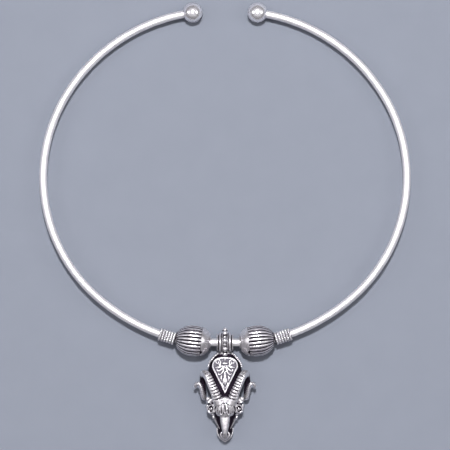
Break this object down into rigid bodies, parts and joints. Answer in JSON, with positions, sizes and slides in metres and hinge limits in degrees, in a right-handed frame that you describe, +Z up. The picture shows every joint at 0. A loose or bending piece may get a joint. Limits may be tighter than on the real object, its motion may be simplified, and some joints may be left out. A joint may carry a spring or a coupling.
{
  "type": "silver torc",
  "caption": "Open oval neck ring of round silver wire with ball terminals, two fluted beads with wound collars, and a ram's head pendant that swings on the wire between them.",
  "frame": {"origin": "centre of the bounding box at the height of the surface that the torc lies on", "axes": "+Y from the pendant towards the gap between the ball terminals, +Z up out of the plane that the torc lies in, with the ram's face up"},
  "size_m": [0.1404, 0.1666, 0.0116],
  "materials": {
    "polished_silver": "polished silver with fine wear and a faint tarnish",
    "worked_silver": "worked silver, bright on its high points and dark with tarnish in its recesses"
  },
  "bodies": {
    "ring": {"neck_ring_wire": "polished_silver", "ball_terminal_left": "polished_silver", "ball_terminal_right": "polished_silver", "wound_collar_left": "worked_silver", "wound_collar_right": "worked_silver", "fluted_bead_left": "worked_silver", "fluted_bead_right": "worked_silver"},
    "pendant": {"bail_barrel": "worked_silver", "palmette_plaque": "worked_silver", "ram_head": "worked_silver"}
  },
  "joints": [
    {"name": "pendant_swing", "type": "hinge", "parent": "ring", "child": "pendant", "pos_m": [0, -0.04513, 0.00581], "axis": [-1, 0, 0], "continuous": true}
  ]
}
